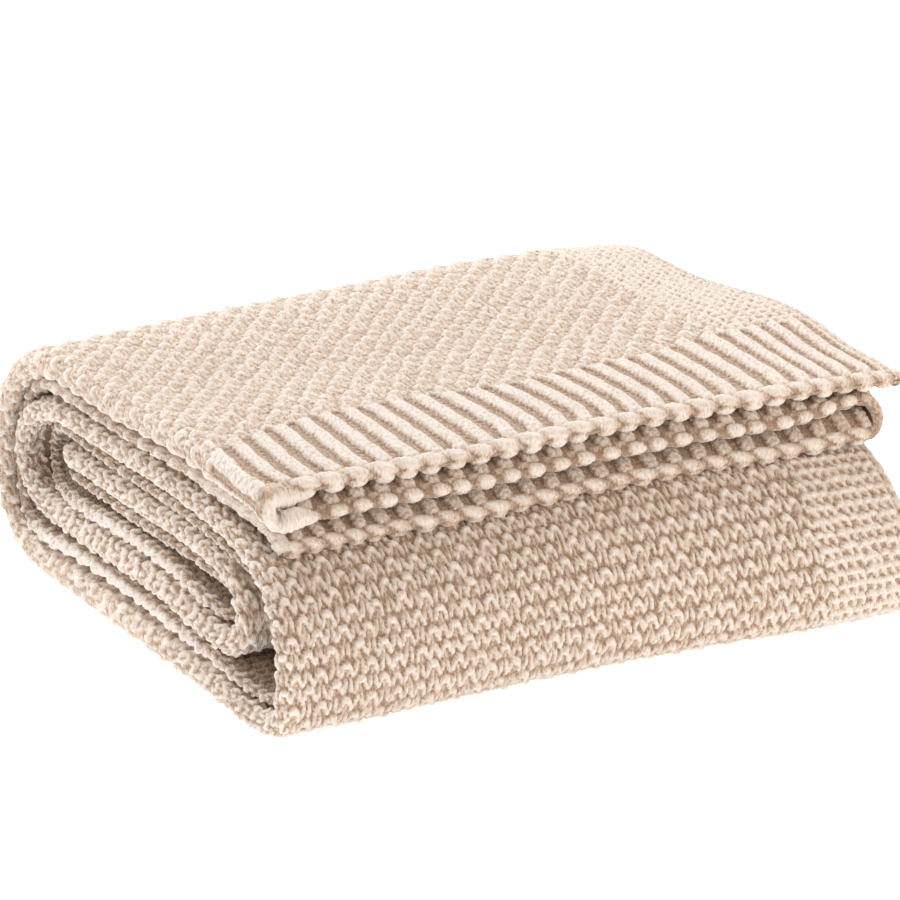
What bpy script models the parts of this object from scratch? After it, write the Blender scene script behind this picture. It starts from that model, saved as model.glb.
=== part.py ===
"""Folded knit throw: one knitted piece, folded in three across and rolled flat into five spans.

The throw is laid out flat as a sheet of knit, u across its width and s along its length from the
ribbed hem. Every point of the flat sheet is then carried to its place in the folded bundle, the ribs
of the hem are raised, and the sheet is given the thickness of the knit.

Metres. +X runs along the bundle, -Y is the front where the hem lies, +Z is up, the table is z = 0.
"""
import math

import bmesh
import bpy
import numpy as np

MM = 0.001

# Sizes of the throw
KNIT_THICKNESS = 6.0 * MM
BUNDLE_LENGTH = 416.0 * MM
LEFT_END = -215.0 * MM
RIGHT_END = LEFT_END + BUNDLE_LENGTH
CENTRE_SHIFT = (1.74 * MM, 16.72 * MM, 0.0)
HEM_BAND = 86.0 * MM
RIBS_PER_LAYER = 26
RIB_HEIGHT = 1.2 * MM

# How the three layers of a span lie. Where they lie wide apart, the left fold puffs out beyond them.
RIGHT_FOLD_INSET = 7.0 * MM
MEAN_SELVEDGE_INSET = 7.0 * MM
FOLD_ROUNDNESS = 1.05
FOLD_PUFF = 0.4
PUFF_FROM = 7.2 * MM
MOST_PUFF = 1.2 * MM
PUFF_REACH = 14.0 * MM
OUTER_HEM_STEP = 11.0 * MM
INNER_HEM_STEP = 13.0 * MM
STEP_GONE = 290.0 * MM

# How the hem's right end curls: the outer layer's free edge reaches out and lifts, most at its
# shoulder and less at its tip, and the right fold is drawn back and lifted under it
EDGE_CURL_WIDTH = 110.0 * MM
EDGE_REACH = 7.0 * MM
TIP_LIFT = 4.5 * MM
TIP_LENGTH = 55.0 * MM
SHOULDER_LIFT = 8.0 * MM
SHOULDER_START = 20.0 * MM
SHOULDER_FULL = 95.0 * MM
EDGE_CURL_FADES = 105.0 * MM
EDGE_CURL_GONE = 230.0 * MM
FOLD_CURL_WIDTH = 70.0 * MM
FOLD_LIFT = 4.0 * MM
FOLD_BACK = 9.0 * MM
INNER_SIDE_OF_BACK = 0.3
FOLD_CURL_FADES = 45.0 * MM
FOLD_CURL_GONE = 150.0 * MM

# How far the middle layer's hem stands up between the two folds
MIDDLE_HEM_LIFT = 2.0 * MM
MIDDLE_HEM_FADES = 25.0 * MM
MIDDLE_HEM_MARGIN = 20.0 * MM
MIDDLE_HEM_EASE = 50.0 * MM

# Fineness of the flat sheet
LAYER_COLUMNS = 6
RIB_COLUMNS = 2 * RIBS_PER_LAYER
FOLD_COLUMNS = 4
HEM_ROWS = 5
ROW_TURN = math.radians(14.0)
ROW_LENGTH = 52.0 * MM
PATH_POINTS = 1500
PATH_SMOOTHING = 60
SAME_PLACE = 0.001 * MM

# The path of the middle layer, from the hem on top to the end inside the roll, seen from the left:
# place, y, z, distance from layer to layer, inset of the left folds, inset of the right folds,
# how far the inner layer's selvedge lies inside the left folds, in mm
FOLD_STATIONS = [
    ("hem tip", -174.5, 112.5, 11.0, 9.0, -8.0, 8.0),
    ("hem end", -167.5, 119.5, 11.0, 8.5, -8.0, 7.0),
    ("hem droop", -152.0, 128.7, 11.0, 7.0, -8.0, 6.0),
    ("hem front", -127.0, 133.2, 10.8, 4.0, -6.0, 5.0),
    ("hem start", -72.0, 137.2, 9.8, 1.0, -2.0, 4.0),
    ("top middle", 0.0, 136.2, 9.2, 0.5, 1.5, 4.0),
    ("top back", 60.0, 137.0, 9.5, 1.0, 2.0, 4.0),
    ("shoulder", 106.0, 135.3, 10.0, 1.5, 2.0, 6.0),
    ("back high", 139.0, 124.2, 9.0, 1.0, 2.5, 8.0),
    ("back upper", 160.5, 101.0, 7.8, 0.0, 3.0, 10.0),
    ("back", 170.0, 70.0, 7.6, 0.0, 2.5, 10.0),
    ("back lower", 169.3, 42.0, 7.8, 0.5, 1.5, 8.0),
    ("heel", 153.5, 19.5, 8.6, 1.0, 1.0, 6.0),
    ("heel low", 128.0, 14.4, 10.7, 1.5, 1.0, 4.0),
    ("base back", 70.0, 16.5, 13.4, 1.0, 1.5, 4.0),
    ("base middle", -10.0, 16.5, 13.4, 1.5, 2.0, 4.0),
    ("base front", -90.0, 14.3, 11.2, 2.0, 1.0, 4.0),
    ("base toe", -162.0, 11.2, 8.2, 1.0, 0.5, 6.0),
    ("toe", -187.0, 18.0, 7.8, 0.0, 0.0, 9.0),
    ("front low", -191.5, 38.0, 7.7, 0.0, 0.0, 11.0),
    ("front", -187.5, 62.0, 7.7, 0.5, 5.0, 11.0),
    ("front high", -175.0, 82.0, 7.7, 1.5, 8.5, 10.0),
    ("front shoulder", -151.0, 96.0, 7.8, 3.0, 11.0, 7.0),
    ("second front", -117.0, 104.5, 8.4, 3.0, 9.0, 4.0),
    ("second middle", -60.0, 108.4, 8.8, 3.0, 4.0, 4.0),
    ("second back", 0.0, 109.4, 8.8, 3.0, 3.0, 4.0),
    ("loop start", 60.0, 110.0, 8.4, 3.0, 3.5, 5.0),
    ("loop top", 106.0, 107.0, 7.8, 3.5, 4.0, 9.0),
    ("loop upper", 136.5, 93.5, 7.6, 3.0, 4.5, 16.0),
    ("loop back", 147.5, 71.0, 7.6, 3.0, 4.0, 18.0),
    ("loop low", 131.0, 51.0, 8.0, 3.5, 3.5, 14.0),
    ("fourth back", 92.0, 48.8, 9.8, 3.5, 4.0, 5.0),
    ("fourth middle", 20.0, 51.5, 12.0, 3.0, 5.0, 4.0),
    ("fourth front", -50.0, 50.0, 11.4, 3.0, 4.5, 4.0),
    ("bend start", -97.0, 43.5, 9.4, 3.0, 4.0, 5.0),
    ("bend low", -126.0, 43.2, 8.0, 3.0, 4.0, 12.0),
    ("bend front", -137.5, 59.0, 7.8, 3.5, 4.5, 14.0),
    ("bend high", -125.0, 75.0, 8.0, 4.0, 5.0, 10.0),
    ("third front", -95.0, 81.6, 8.4, 4.5, 5.0, 5.0),
    ("third middle", -20.0, 82.8, 9.0, 4.5, 5.5, 4.0),
    ("third back", 50.0, 83.4, 8.6, 5.0, 5.0, 4.0),
    ("inner end", 90.0, 83.2, 7.8, 5.5, 5.0, 4.0),
]

# How far the front bulges toward the viewer and the top stands up, along the bundle:
# x, front at the toe, front at the middle, top at the hem, top at the back, in mm
UNEVEN_STATIONS = [
    (-215.0, 2.0, 0.0, 0.0, -4.0),
    (-150.0, 0.0, 0.0, 0.6, -1.0),
    (-70.0, 2.0, 2.0, -1.2, 1.5),
    (0.0, 1.0, 2.5, 0.8, 2.5),
    (70.0, -4.0, 1.0, 1.2, 4.5),
    (140.0, -12.0, -2.5, 0.0, 3.5),
    (215.0, -13.0, -4.0, -6.0, -4.0),
]

KNIT_COLOUR = (0.742, 0.604, 0.503, 1.0)
KNIT_ROUGHNESS = 0.95


def clear_scene():
    """Removes every object that the scene starts with."""
    for item in list(bpy.data.objects):
        bpy.data.objects.remove(item, do_unlink=True)


def knit_material():
    """Gives the cream yarn's plain material."""
    material = bpy.data.materials.new("knit_yarn")
    material.use_nodes = True
    shader = material.node_tree.nodes["Principled BSDF"]
    shader.inputs["Base Color"].default_value = KNIT_COLOUR
    shader.inputs["Roughness"].default_value = KNIT_ROUGHNESS
    shader.inputs["Metallic"].default_value = 0.0
    return material


def curve_through(points, steps):
    """Runs an even, centripetal curve through the rows of points; the first two columns are y and z."""
    rows = np.vstack([2.0 * points[0] - points[1], points, 2.0 * points[-1] - points[-2]])
    pieces = []
    for i in range(1, len(rows) - 2):
        p0, p1, p2, p3 = rows[i - 1:i + 3]
        t0 = 0.0
        t1 = t0 + math.sqrt(np.linalg.norm(p1[:2] - p0[:2]))
        t2 = t1 + math.sqrt(np.linalg.norm(p2[:2] - p1[:2]))
        t3 = t2 + math.sqrt(np.linalg.norm(p3[:2] - p2[:2]))
        t = np.linspace(t1, t2, steps, endpoint=False)[:, None]
        a1 = (t1 - t) / (t1 - t0) * p0 + (t - t0) / (t1 - t0) * p1
        a2 = (t2 - t) / (t2 - t1) * p1 + (t - t1) / (t2 - t1) * p2
        a3 = (t3 - t) / (t3 - t2) * p2 + (t - t2) / (t3 - t2) * p3
        b1 = (t2 - t) / (t2 - t0) * a1 + (t - t0) / (t2 - t0) * a2
        b2 = (t3 - t) / (t3 - t1) * a2 + (t - t1) / (t3 - t1) * a3
        pieces.append((t2 - t) / (t2 - t1) * b1 + (t - t1) / (t2 - t1) * b2)
    pieces.append(rows[-2][None])
    return np.vstack(pieces)


class FoldPath:
    """The middle layer's path through the roll, sampled evenly along its length."""

    def __init__(self):
        stations = np.array([row[1:] for row in FOLD_STATIONS]) * MM
        line = curve_through(stations, 12)
        steps = np.linalg.norm(np.diff(line[:, :2], axis=0), axis=1)
        along = np.concatenate([[0.0], np.cumsum(steps)])
        self.length = float(along[-1])
        self.s = np.linspace(0.0, self.length, PATH_POINTS)
        line = np.stack([np.interp(self.s, along, line[:, k]) for k in range(line.shape[1])], axis=1)
        for _ in range(PATH_SMOOTHING):
            line[1:-1] = 0.5 * line[1:-1] + 0.25 * (line[:-2] + line[2:])
        self.line = line
        tangent = np.gradient(line[:, :2], axis=0)
        tangent /= np.linalg.norm(tangent, axis=1)[:, None]
        self.outward = np.stack([-tangent[:, 1], tangent[:, 0]], axis=1)
        self.turn = np.unwrap(np.arctan2(tangent[:, 1], tangent[:, 0]))

    def column(self, values, s):
        """Reads one sampled column at the distances s."""
        return np.interp(s, self.s, values)

    def rows_between(self, start, end):
        """Spaces rows closer where the path turns and wider where it runs straight."""
        inside = (self.s >= start) & (self.s <= end)
        s = self.s[inside]
        turn = np.abs(np.gradient(self.turn[inside])) / ROW_TURN
        run = np.gradient(s) / ROW_LENGTH
        measure = np.concatenate([[0.0], np.cumsum(np.maximum(turn, run))[:-1]])
        count = int(math.ceil(measure[-1]))
        return np.interp(np.linspace(0.0, measure[-1], count + 1), measure, s)


def smooth_step(value, low, high):
    """Eases from 0 at low to 1 at high."""
    t = np.clip((value - low) / (high - low), 0.0, 1.0)
    return t * t * (3.0 - 2.0 * t)


def cross_regions():
    """Lists the parts of the flat sheet across its width: layer or fold, and its flat width."""
    fold_width = math.pi * 4.5 * MM
    return [
        ("outer layer", BUNDLE_LENGTH - 10.0 * MM),
        ("left fold", fold_width),
        ("middle layer", BUNDLE_LENGTH - RIGHT_FOLD_INSET - 20.0 * MM),
        ("right fold", fold_width),
        ("inner layer", BUNDLE_LENGTH - RIGHT_FOLD_INSET - MEAN_SELVEDGE_INSET - 10.0 * MM),
    ]


def cross_columns(layer_columns):
    """Gives the flat positions u of the sheet's columns, with so many to a layer."""
    u = [0.0]
    start = 0.0
    for name, width in cross_regions():
        count = FOLD_COLUMNS if "fold" in name else layer_columns
        u.extend(start + width * (k + 1) / count for k in range(count))
        start += width
    return np.array(u)


def span_section(u, spacing, left, right, selvedge):
    """Carries flat positions u to x and to the offset from the middle layer, outward positive."""
    puff = np.clip(FOLD_PUFF * (spacing - PUFF_FROM), 0.0, MOST_PUFF)
    radius = 0.5 * spacing
    bulge = FOLD_ROUNDNESS * radius
    x_left = LEFT_END + left + bulge + 0.5 * KNIT_THICKNESS
    x_right = RIGHT_END - RIGHT_FOLD_INSET - right - bulge - 0.5 * KNIT_THICKNESS
    x_outer = RIGHT_END - 0.8 * right
    x_inner = LEFT_END + selvedge + left
    x = np.zeros_like(u)
    offset = np.zeros_like(u)
    start = 0.0
    for name, width in cross_regions():
        inside = (u >= start - SAME_PLACE) & (u <= start + width + SAME_PLACE)
        f = np.clip((u - start) / width, 0.0, 1.0)
        if name == "outer layer":
            x_here = x_outer + (x_left - x_outer) * f
            offset_here = spacing + puff * (1.0 - smooth_step(width * (1.0 - f), 0.0, PUFF_REACH))
        elif name == "left fold":
            x_here = x_left - (bulge + puff) * np.sin(math.pi * f)
            offset_here = radius + (radius + puff) * np.cos(math.pi * f)
        elif name == "middle layer":
            x_here = x_left + (x_right - x_left) * f
            offset_here = -puff * (1.0 - smooth_step(width * f, 0.0, PUFF_REACH))
        elif name == "right fold":
            x_here = x_right + bulge * np.sin(math.pi * f)
            offset_here = -radius * (1.0 - np.cos(math.pi * f))
        else:
            x_here = x_right + (x_inner - x_right) * f
            offset_here = -spacing + 0.0 * f
        x = np.where(inside, x_here, x)
        offset = np.where(inside, offset_here, offset)
        start += width
    return x, offset


def uneven(points):
    """Bulges the front and lifts or lowers the top by small amounts that change along the bundle."""
    table = np.array(UNEVEN_STATIONS) * MM
    x, y, z = points[:, 0].copy(), points[:, 1].copy(), points[:, 2].copy()
    toe, middle, hem, back = [np.interp(x, table[:, 0], table[:, k]) for k in range(1, 5)]
    low = 1.0 - smooth_step(z, 20.0 * MM, 95.0 * MM)
    frontness = smooth_step(-y, 20.0 * MM, 190.0 * MM)
    y += frontness * (toe * low + middle * (1.0 - low))
    rise = smooth_step(z, 10.0 * MM, 140.0 * MM)
    z += rise * (back + (hem - back) * smooth_step(-y, -60.0 * MM, 60.0 * MM))
    return np.stack([x, y, z], axis=1)


def press_on_table(points):
    """Flattens the underside where the throw rests on the table."""
    floor = 0.5 * KNIT_THICKNESS
    low = points[:, 2]
    points[:, 2] = np.where(low < floor + 0.7 * MM, floor, low)
    return points


def near_right_fold(u, right_middle):
    """Gives 1 at the right fold, easing to 0 on the layers beside it."""
    return 1.0 - smooth_step(np.abs(u - right_middle), 10.0 * MM, FOLD_CURL_WIDTH)


def hem_curl(u, s, left_middle, right_middle):
    """Gives the reach and the lift of the hem's curled right end, and of its middle layer."""
    near_edge = 1.0 - smooth_step(u, 0.0, EDGE_CURL_WIDTH)
    near_edge = near_edge * (1.0 - smooth_step(s, EDGE_CURL_FADES, EDGE_CURL_GONE))
    tip = TIP_LIFT * (1.0 - smooth_step(s, 0.0, TIP_LENGTH))
    lift = (tip + SHOULDER_LIFT * smooth_step(s, SHOULDER_START, SHOULDER_FULL)) * near_edge
    fold = near_right_fold(u, right_middle) * (1.0 - smooth_step(s, FOLD_CURL_FADES, FOLD_CURL_GONE))
    first = left_middle + MIDDLE_HEM_MARGIN
    last = right_middle - MIDDLE_HEM_MARGIN
    in_middle = smooth_step(u, first, first + MIDDLE_HEM_EASE)
    in_middle = in_middle * (1.0 - smooth_step(u, last - MIDDLE_HEM_EASE, last))
    in_middle = in_middle * (1.0 - smooth_step(s, MIDDLE_HEM_FADES, HEM_BAND))
    return EDGE_REACH * near_edge, lift + FOLD_LIFT * fold + MIDDLE_HEM_LIFT * in_middle


def folded(path, u, s):
    """Carries points of the flat sheet to their places in the folded bundle."""
    regions = cross_regions()
    left_middle = regions[0][1] + 0.5 * regions[1][1]
    right_middle = sum(width for name, width in regions[:3]) + 0.5 * regions[3][1]
    past_left = smooth_step(u, left_middle - 9.0 * MM, left_middle + 9.0 * MM)
    past_right = smooth_step(u, right_middle - 9.0 * MM, right_middle + 9.0 * MM)
    step = OUTER_HEM_STEP * (1.0 - past_left) + INNER_HEM_STEP * (1.0 - past_right)
    back = FOLD_BACK * near_right_fold(u, right_middle)
    step = step + back * (1.0 - (1.0 - INNER_SIDE_OF_BACK) * past_right)
    along = s + step * (1.0 - smooth_step(s, HEM_BAND, STEP_GONE))
    y0 = path.column(path.line[:, 0], along)
    z0 = path.column(path.line[:, 1], along)
    spacing = path.column(path.line[:, 2], along)
    left = path.column(path.line[:, 3], along)
    right = path.column(path.line[:, 4], along)
    selvedge = path.column(path.line[:, 5], along)
    ny = path.column(path.outward[:, 0], along)
    nz = path.column(path.outward[:, 1], along)
    x, offset = span_section(u, spacing, left, right, selvedge)
    reach, lift = hem_curl(u, s, left_middle, right_middle)
    x = x + reach
    offset = offset + lift
    points = uneven(np.stack([x, y0 + ny * offset, z0 + nz * offset], axis=1))
    return press_on_table(points) + np.array(CENTRE_SHIFT)


def sheet_normals(path, u, s):
    """Gives the sheet's unit normals, pointing out of the roll on the outer layer."""
    d = 1.0 * MM
    across = folded(path, u + d, s) - folded(path, u - d, s)
    along = folded(path, u, s + d) - folded(path, u, s - d)
    normal = np.cross(along, across)
    return normal / np.linalg.norm(normal, axis=1)[:, None]


def flat_grid(bm, columns, rows):
    """Lays one rectangle of the flat sheet, its columns at the given u and its rows at the given s."""
    made = bmesh.ops.create_grid(bm, x_segments=len(columns) - 1, y_segments=len(rows) - 1, size=1.0)
    verts = made["verts"]
    for vert in verts:
        column = int(round((vert.co.x + 1.0) / 2.0 * (len(columns) - 1)))
        row = int(round((vert.co.y + 1.0) / 2.0 * (len(rows) - 1)))
        vert.co = (columns[column], rows[row], 0.0)
    return verts


def row_edges(verts, s):
    """Finds the edges that lie along one row of a flat rectangle."""
    on_row = {vert for vert in verts if abs(vert.co.y - s) < SAME_PLACE}
    edges = [edge for vert in on_row for edge in vert.link_edges if edge.verts[0] is vert]
    return [edge for edge in edges if edge.verts[1] in on_row]


def flat_sheet(path):
    """Lays out the whole throw flat: a finely divided ribbed hem, and the body joined to it."""
    bm = bmesh.new()
    fine = cross_columns(RIB_COLUMNS)
    coarse = cross_columns(LAYER_COLUMNS)
    hem_rows = np.linspace(0.0, HEM_BAND, HEM_ROWS + 1)
    body_start = HEM_BAND + 14.0 * MM
    body_rows = path.rows_between(body_start, path.length)
    hem = flat_grid(bm, fine, hem_rows)
    body = flat_grid(bm, coarse, body_rows)
    seam = row_edges(hem, hem_rows[-1]) + row_edges(body, body_rows[0])
    for u in (fine[0], fine[-1]):
        ends = [vert for edge in seam for vert in edge.verts if abs(vert.co.x - u) < SAME_PLACE]
        ends.sort(key=lambda vert: vert.co.y)
        seam.append(bm.edges.new((ends[0], ends[-1])))
    bmesh.ops.triangle_fill(bm, edges=seam, use_beauty=True)
    return bm


def rib_heights(u, s):
    """Gives each hem column its height: up on a rib, down between ribs, fading at the folds."""
    start = 0.0
    height = np.zeros_like(u)
    for name, width in cross_regions():
        if "layer" in name:
            f = (u - start) / width
            inside = (f > -1e-6) & (f < 1.0 + 1e-6)
            column = np.round(f * RIB_COLUMNS).astype(int)
            wave = np.where(column % 2 == 1, 1.0, -1.0)
            ends = (column == 0) | (column == RIB_COLUMNS)
            height = np.where(inside, np.where(ends, 0.0, wave), height)
        start += width
    band = 1.0 - smooth_step(s, HEM_BAND - 16.0 * MM, HEM_BAND - 0.5 * MM)
    return RIB_HEIGHT * height * band


def fold_sheet(bm, path):
    """Folds the flat sheet into the bundle and raises the ribs of its hem."""
    verts = list(bm.verts)
    u = np.array([vert.co.x for vert in verts])
    s = np.array([vert.co.y for vert in verts])
    points = folded(path, u, s)
    height = rib_heights(u, s)
    in_hem = np.abs(height) > 0.0
    points[in_hem] += height[in_hem, None] * sheet_normals(path, u[in_hem], s[in_hem])
    for vert, point in zip(verts, points):
        vert.co = point


def build_throw():
    """Makes the throw: the folded sheet with the thickness of its knit."""
    path = FoldPath()
    bm = flat_sheet(path)
    fold_sheet(bm, path)
    bmesh.ops.recalc_face_normals(bm, faces=bm.faces)
    mesh = bpy.data.meshes.new("throw")
    bm.to_mesh(mesh)
    bm.free()
    mesh.materials.append(knit_material())
    throw = bpy.data.objects.new("throw", mesh)
    shell = throw.modifiers.new("knit thickness", "SOLIDIFY")
    shell.thickness = KNIT_THICKNESS
    shell.offset = 0.0
    shell.use_even_offset = False
    shell.use_quality_normals = True
    shell.use_rim = True
    return throw


def main():
    clear_scene()
    bundle = bpy.data.collections.new("knit_throw")
    bpy.context.scene.collection.children.link(bundle)
    bundle.objects.link(build_throw())


main()
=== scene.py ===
import math

import bmesh
import bpy
import numpy as np
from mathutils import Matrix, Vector


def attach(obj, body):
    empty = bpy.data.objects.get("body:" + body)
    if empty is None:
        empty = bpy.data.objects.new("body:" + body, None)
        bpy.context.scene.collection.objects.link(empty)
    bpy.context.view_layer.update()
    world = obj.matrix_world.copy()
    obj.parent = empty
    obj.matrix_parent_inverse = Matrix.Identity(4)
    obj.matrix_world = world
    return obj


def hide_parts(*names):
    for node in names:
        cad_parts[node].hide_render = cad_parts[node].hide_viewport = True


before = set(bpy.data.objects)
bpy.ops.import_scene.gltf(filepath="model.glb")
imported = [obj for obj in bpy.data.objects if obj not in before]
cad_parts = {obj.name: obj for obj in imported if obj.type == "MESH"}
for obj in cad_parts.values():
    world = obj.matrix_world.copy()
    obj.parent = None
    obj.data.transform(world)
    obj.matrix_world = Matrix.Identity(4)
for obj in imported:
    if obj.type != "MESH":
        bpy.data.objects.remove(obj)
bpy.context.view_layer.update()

MM = 0.001

# Sizes of the throw, as in the solid
KNIT_THICKNESS = 6.0 * MM
BUNDLE_LENGTH = 416.0 * MM
LEFT_END = -215.0 * MM
RIGHT_END = LEFT_END + BUNDLE_LENGTH
CENTRE_SHIFT = (1.74 * MM, 16.72 * MM, 0.0)
HEM_BAND = 86.0 * MM
FOLD_WIDTH = math.pi * 4.5 * MM
PATH_POINTS = 1500
PATH_SMOOTHING = 60
SAME_PLACE = 0.001 * MM

# How the three layers of a span lie. Where they lie wide apart, the left fold puffs out beyond them.
RIGHT_FOLD_INSET = 7.0 * MM
MEAN_SELVEDGE_INSET = 7.0 * MM
FOLD_ROUNDNESS = 1.05
FOLD_PUFF = 0.4
PUFF_FROM = 7.2 * MM
MOST_PUFF = 1.2 * MM
PUFF_REACH = 14.0 * MM
OUTER_HEM_STEP = 11.0 * MM
INNER_HEM_STEP = 13.0 * MM
STEP_GONE = 290.0 * MM

# How the hem's right end curls: the outer layer's free edge reaches out and lifts, most at its
# shoulder and less at its tip, and the right fold is drawn back and lifted under it
EDGE_CURL_WIDTH = 110.0 * MM
EDGE_REACH = 7.0 * MM
TIP_LIFT = 4.5 * MM
TIP_LENGTH = 55.0 * MM
SHOULDER_LIFT = 8.0 * MM
SHOULDER_START = 20.0 * MM
SHOULDER_FULL = 95.0 * MM
EDGE_CURL_FADES = 105.0 * MM
EDGE_CURL_GONE = 230.0 * MM
FOLD_CURL_WIDTH = 70.0 * MM
FOLD_LIFT = 4.0 * MM
FOLD_BACK = 9.0 * MM
INNER_SIDE_OF_BACK = 0.3
FOLD_CURL_FADES = 45.0 * MM
FOLD_CURL_GONE = 150.0 * MM

# How far the middle layer's hem stands up between the two folds
MIDDLE_HEM_LIFT = 2.0 * MM
MIDDLE_HEM_FADES = 25.0 * MM
MIDDLE_HEM_MARGIN = 20.0 * MM
MIDDLE_HEM_EASE = 50.0 * MM

# The path of the middle layer, from the hem on top to the end inside the roll, seen from the left:
# place, y, z, distance from layer to layer, inset of the left folds, inset of the right folds,
# how far the inner layer's selvedge lies inside the left folds, in mm
FOLD_STATIONS = [
    ("hem tip", -174.5, 112.5, 11.0, 9.0, -8.0, 8.0),
    ("hem end", -167.5, 119.5, 11.0, 8.5, -8.0, 7.0),
    ("hem droop", -152.0, 128.7, 11.0, 7.0, -8.0, 6.0),
    ("hem front", -127.0, 133.2, 10.8, 4.0, -6.0, 5.0),
    ("hem start", -72.0, 137.2, 9.8, 1.0, -2.0, 4.0),
    ("top middle", 0.0, 136.2, 9.2, 0.5, 1.5, 4.0),
    ("top back", 60.0, 137.0, 9.5, 1.0, 2.0, 4.0),
    ("shoulder", 106.0, 135.3, 10.0, 1.5, 2.0, 6.0),
    ("back high", 139.0, 124.2, 9.0, 1.0, 2.5, 8.0),
    ("back upper", 160.5, 101.0, 7.8, 0.0, 3.0, 10.0),
    ("back", 170.0, 70.0, 7.6, 0.0, 2.5, 10.0),
    ("back lower", 169.3, 42.0, 7.8, 0.5, 1.5, 8.0),
    ("heel", 153.5, 19.5, 8.6, 1.0, 1.0, 6.0),
    ("heel low", 128.0, 14.4, 10.7, 1.5, 1.0, 4.0),
    ("base back", 70.0, 16.5, 13.4, 1.0, 1.5, 4.0),
    ("base middle", -10.0, 16.5, 13.4, 1.5, 2.0, 4.0),
    ("base front", -90.0, 14.3, 11.2, 2.0, 1.0, 4.0),
    ("base toe", -162.0, 11.2, 8.2, 1.0, 0.5, 6.0),
    ("toe", -187.0, 18.0, 7.8, 0.0, 0.0, 9.0),
    ("front low", -191.5, 38.0, 7.7, 0.0, 0.0, 11.0),
    ("front", -187.5, 62.0, 7.7, 0.5, 5.0, 11.0),
    ("front high", -175.0, 82.0, 7.7, 1.5, 8.5, 10.0),
    ("front shoulder", -151.0, 96.0, 7.8, 3.0, 11.0, 7.0),
    ("second front", -117.0, 104.5, 8.4, 3.0, 9.0, 4.0),
    ("second middle", -60.0, 108.4, 8.8, 3.0, 4.0, 4.0),
    ("second back", 0.0, 109.4, 8.8, 3.0, 3.0, 4.0),
    ("loop start", 60.0, 110.0, 8.4, 3.0, 3.5, 5.0),
    ("loop top", 106.0, 107.0, 7.8, 3.5, 4.0, 9.0),
    ("loop upper", 136.5, 93.5, 7.6, 3.0, 4.5, 16.0),
    ("loop back", 147.5, 71.0, 7.6, 3.0, 4.0, 18.0),
    ("loop low", 131.0, 51.0, 8.0, 3.5, 3.5, 14.0),
    ("fourth back", 92.0, 48.8, 9.8, 3.5, 4.0, 5.0),
    ("fourth middle", 20.0, 51.5, 12.0, 3.0, 5.0, 4.0),
    ("fourth front", -50.0, 50.0, 11.4, 3.0, 4.5, 4.0),
    ("bend start", -97.0, 43.5, 9.4, 3.0, 4.0, 5.0),
    ("bend low", -126.0, 43.2, 8.0, 3.0, 4.0, 12.0),
    ("bend front", -137.5, 59.0, 7.8, 3.5, 4.5, 14.0),
    ("bend high", -125.0, 75.0, 8.0, 4.0, 5.0, 10.0),
    ("third front", -95.0, 81.6, 8.4, 4.5, 5.0, 5.0),
    ("third middle", -20.0, 82.8, 9.0, 4.5, 5.5, 4.0),
    ("third back", 50.0, 83.4, 8.6, 5.0, 5.0, 4.0),
    ("inner end", 90.0, 83.2, 7.8, 5.5, 5.0, 4.0),
]

# How far the front bulges toward the viewer and the top stands up, along the bundle:
# x, front at the toe, front at the middle, top at the hem, top at the back, in mm
UNEVEN_STATIONS = [
    (-215.0, 2.0, 0.0, 0.0, -4.0),
    (-150.0, 0.0, 0.0, 0.6, -1.0),
    (-70.0, 2.0, 2.0, -1.2, 1.5),
    (0.0, 1.0, 2.5, 0.8, 2.5),
    (70.0, -4.0, 1.0, 1.2, 4.5),
    (140.0, -12.0, -2.5, 0.0, 3.5),
    (215.0, -13.0, -4.0, -6.0, -4.0),
]

# The flat widths across the sheet, from the right selvedge of the outer layer
OUTER_END = BUNDLE_LENGTH - 10.0 * MM
MIDDLE_START = OUTER_END + FOLD_WIDTH
MIDDLE_END = MIDDLE_START + BUNDLE_LENGTH - RIGHT_FOLD_INSET - 20.0 * MM
INNER_START = MIDDLE_END + FOLD_WIDTH
SHEET_WIDTH = INNER_START + BUNDLE_LENGTH - RIGHT_FOLD_INSET - MEAN_SELVEDGE_INSET - 10.0 * MM
REGIONS = [
    ("outer layer", 0.0, OUTER_END),
    ("left fold", OUTER_END, MIDDLE_START),
    ("middle layer", MIDDLE_START, MIDDLE_END),
    ("right fold", MIDDLE_END, INNER_START),
    ("inner layer", INNER_START, SHEET_WIDTH),
]

# Stitches: a column's width in the body and in the side border, and the height of the yarn
STITCH = 8.1 * MM
BORDER_STITCH = 6.5 * MM
BORDER = 62.0 * MM
CORE_HALF = 1.2 * MM
CROWN = 4.4 * MM
FUZZ = 0.24 * MM
SIDE_A = 1.0
SIDE_B = -1.0

# The body's stitches stand out more from here on, so that they are full on the front
FRONT_STITCHES_FROM = 560.0 * MM
FRONT_STITCHES_FULL = 720.0 * MM

# How tall a stitch is in the hem, and a pair of rows in the body and in the side border
RIB_STITCH_TALL = 4.6 * MM
BODY_PAIR_TALL = 9.3 * MM
BORDER_PAIR_TALL = 6.6 * MM

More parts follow.
